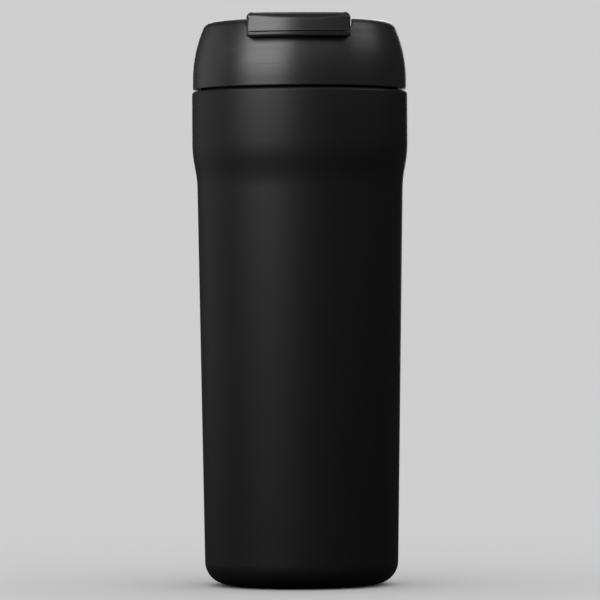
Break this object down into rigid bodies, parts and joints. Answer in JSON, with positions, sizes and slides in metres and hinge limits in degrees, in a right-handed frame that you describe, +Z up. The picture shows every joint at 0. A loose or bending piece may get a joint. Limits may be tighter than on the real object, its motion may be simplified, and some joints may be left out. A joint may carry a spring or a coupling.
{
  "type": "insulated travel mug",
  "caption": "Tall tapered vacuum-insulated travel mug with a wide collar, a screw-on domed lid and a flip lever whose tab overhangs the lid's shoulder.",
  "frame": {"origin": "centre of the foot, on the surface the mug stands on", "axes": "+Z up along the mug's axis; the lever's tab faces -Y; +X is to the right seen from the tab's side"},
  "size_m": [0.076, 0.077, 0.2001],
  "materials": {
    "powder_coat": "fine matte powder coat",
    "liner_steel": "bare satin stainless steel",
    "plate_steel": "bare stainless steel",
    "solder_glass": "opaque solder glass",
    "copper_foil": "bright copper foil",
    "getter_grey": "sintered powder",
    "foot_silicone": "matte silicone",
    "seal_silicone": "matte black silicone",
    "stopper_silicone": "matte silicone",
    "lid_black": "satin moulded polypropylene",
    "lever_black": "satin moulded polypropylene",
    "core_black": "matte moulded polypropylene",
    "foam_white": "expanded foam",
    "insert_white": "plain moulded"
  },
  "bodies": {
    "vessel": {"outer_shell": "powder_coat", "inner_vessel": "liner_steel", "vacuum_end_plate": "plate_steel", "evacuation_bead": "solder_glass", "base_cover": "plate_steel", "base_pad": "foot_silicone", "reflective_foil": "copper_foil", "getter_clip": "plate_steel", "getter_pellet": "getter_grey"},
    "gasket": {"mouth_gasket": "seal_silicone"},
    "lid": {"lid_cover": "lid_black", "lid_core": "core_black", "port_seal": "seal_silicone", "vent_seal": "seal_silicone", "lid_foam": "foam_white", "plug_cap": "core_black", "hinge_pin": "plate_steel"},
    "lever": {"flip_cover": "lever_black", "flip_carrier": "lever_black", "drink_stopper": "stopper_silicone", "stopper_insert": "insert_white", "vent_stopper": "stopper_silicone"}
  },
  "joints": [
    {"name": "lid_rise", "type": "slide", "parent": "vessel", "child": "gasket", "axis": [0, 0, 1], "range_m": [0, 0.0201]},
    {"name": "lid_turn", "type": "hinge", "parent": "gasket", "child": "lid", "pos_m": [0, 0, 0.1742], "axis": [0, 0, 1], "range_deg": [0, 900]},
    {"name": "flip_hinge", "type": "hinge", "parent": "lid", "child": "lever", "pos_m": [0, 0.014, 0.1979], "axis": [-1, 0, 0], "range_deg": [0, 115]}
  ],
  "couplings": [
    {"joint": "lid_rise", "follows": "lid_turn", "m_per_rad": 0.0012732}
  ]
}
